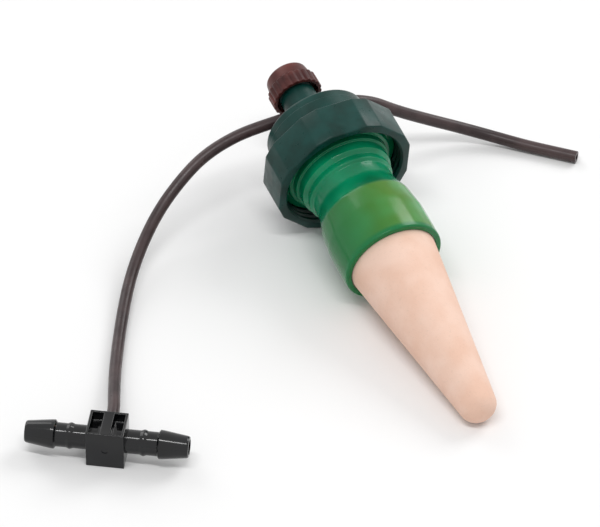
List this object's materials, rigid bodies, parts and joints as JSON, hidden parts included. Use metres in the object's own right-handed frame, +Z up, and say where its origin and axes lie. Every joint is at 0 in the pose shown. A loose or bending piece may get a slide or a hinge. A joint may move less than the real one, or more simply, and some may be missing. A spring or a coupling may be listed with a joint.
{
  "type": "self watering spike",
  "caption": "Self watering spike: ceramic cone in a translucent green sleeve, union nut, diaphragm pinch valve with adjusting cap, thin drip tube and a barbed tee.",
  "frame": {"origin": "on the surface that the spike lies on, under the centre of the spike's own box, tube and tee left out", "axes": "+Z up; +Y along the lying spike, from the cone's tip towards the adjusting cap; +X to the outlet tube's side. The spike's own axis lies in the YZ plane and rises 9.4 degrees from the tip to the cap"},
  "size_m": [0.1781, 0.1216, 0.0382],
  "materials": {
    "ceramic": "porous, unglazed, slip-cast",
    "clear_green": "translucent emerald green moulding",
    "dark_green": "dark bluish green moulding, semi-gloss",
    "brown_cap": "maroon brown moulding",
    "black_tee": "black moulding, gloss",
    "tube": "soft grey-brown tube, satin",
    "rubber": "black rubber, matt",
    "natural_plastic": "natural white moulding",
    "cement": "cured cement"
  },
  "bodies": {
    "root": {"valve_head": "dark_green", "slip_washer": "natural_plastic", "diaphragm": "rubber", "valve_tube": "tube", "supply_tube": "tube", "outlet_tube": "tube", "tee_connector": "black_tee"},
    "union_nut": {"union_nut": "dark_green"},
    "cone": {"cone_sleeve": "clear_green", "cement_ring": "cement", "ceramic_cone": "ceramic"},
    "plunger": {"diaphragm_plunger": "natural_plastic"},
    "pin": {"pressure_pin": "natural_plastic"},
    "cap": {"adjusting_cap": "brown_cap"}
  },
  "joints": [
    {"name": "nut_turn", "type": "hinge", "parent": "root", "child": "union_nut", "pos_m": [0, 0.02318, 0.0182], "axis": [0, 0.9866, 0.1634], "range_deg": [0, 1152]},
    {"name": "cone_slide", "type": "slide", "parent": "root", "child": "cone", "axis": [0, -0.9866, -0.1634], "range_m": [0, 0.0064]},
    {"name": "plunger_slide", "type": "slide", "parent": "root", "child": "plunger", "axis": [0, 0.9866, 0.1634], "range_m": [-0.001, 0.0009], "deforming": ["diaphragm", "valve_tube"]},
    {"name": "pin_slide", "type": "slide", "parent": "root", "child": "pin", "axis": [0, 0.9866, 0.1634], "range_m": [-0.001, 0.002]},
    {"name": "cap_turn", "type": "hinge", "parent": "pin", "child": "cap", "pos_m": [0, 0.05219, 0.02301], "axis": [0, 0.9866, 0.1634], "range_deg": [-360, 720]}
  ],
  "couplings": [
    {"joint": "cone_slide", "follows": "nut_turn", "m_per_rad": 0.00031831},
    {"joint": "pin_slide", "follows": "cap_turn", "m_per_rad": 0.00015915}
  ]
}
